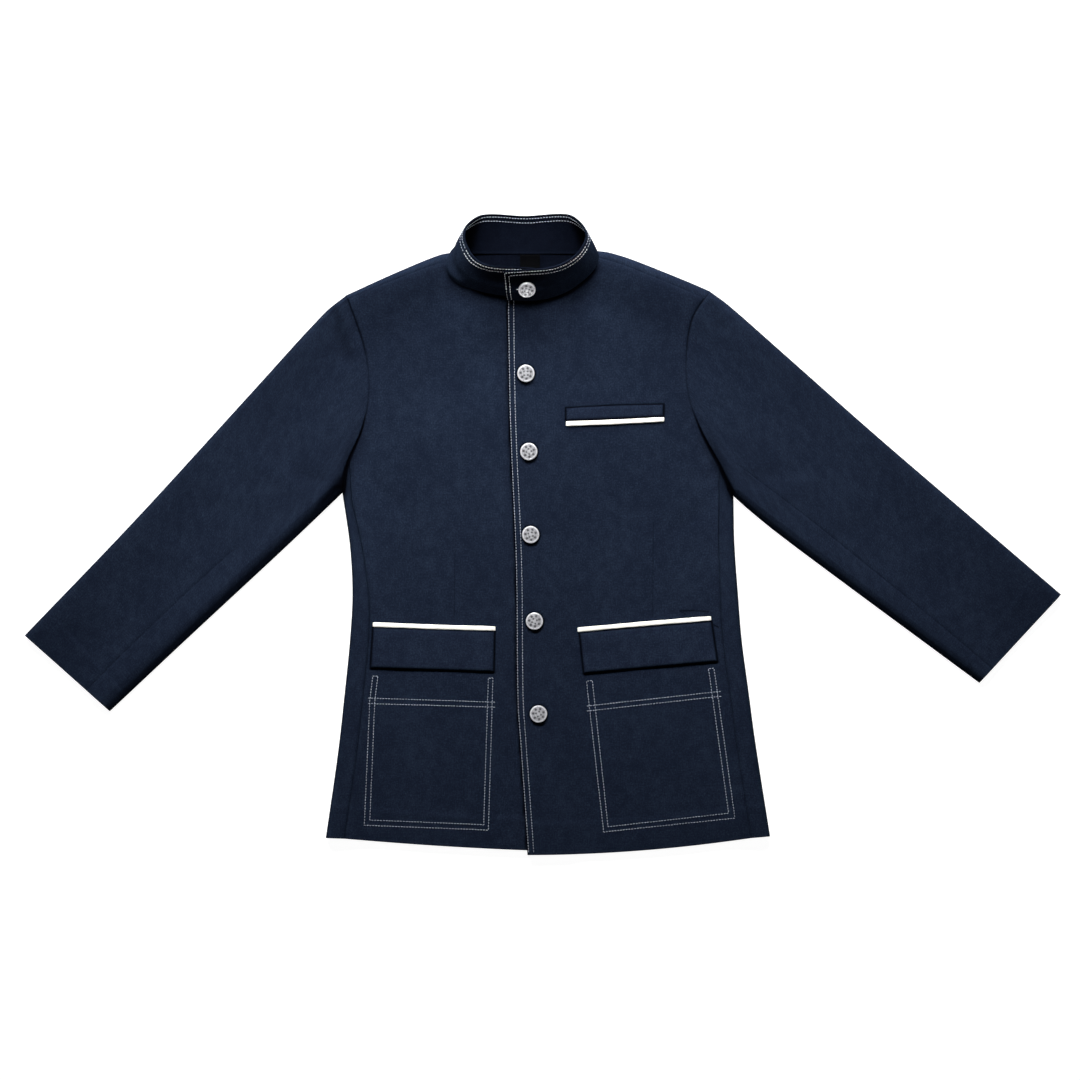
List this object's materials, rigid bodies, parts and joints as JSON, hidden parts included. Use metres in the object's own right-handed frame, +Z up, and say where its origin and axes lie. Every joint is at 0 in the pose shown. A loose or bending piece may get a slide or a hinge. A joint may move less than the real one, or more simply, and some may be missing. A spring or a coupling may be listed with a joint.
{
  "type": "blazer",
  "caption": "Denim blazer with a stand collar, a chest welt and flapped hip pockets, buttoned to the neck and laid out flat, face up, with its sleeves spread.",
  "frame": {"origin": "on the surface that the blazer lies on, below the middle of its outline", "axes": "+X towards the wearer's left sleeve, +Y towards the collar, +Z up off the surface, out of the blazer's face"},
  "size_m": [1.2424, 0.7691, 0.052],
  "materials": {
    "denim": "matt indigo denim twill",
    "piping": "smooth cream cotton",
    "label": "black woven satin",
    "button": "polished silver-coloured metal"
  },
  "bodies": {
    "root": {"back": "denim", "front_right": "denim", "side_right": "denim", "sleeve_right_top": "denim", "sleeve_right_under": "denim", "front_left": "denim", "side_left": "denim", "sleeve_left_top": "denim", "sleeve_left_under": "denim", "collar": "denim", "neck_label": "label", "chest_welt": "denim", "chest_piping": "piping", "flap_left": "denim", "flap_right": "denim", "piping_left": "piping", "piping_right": "piping", "button_1": "button", "button_2": "button", "button_3": "button", "button_4": "button", "button_5": "button", "button_6": "button"}
  },
  "joints": []
}
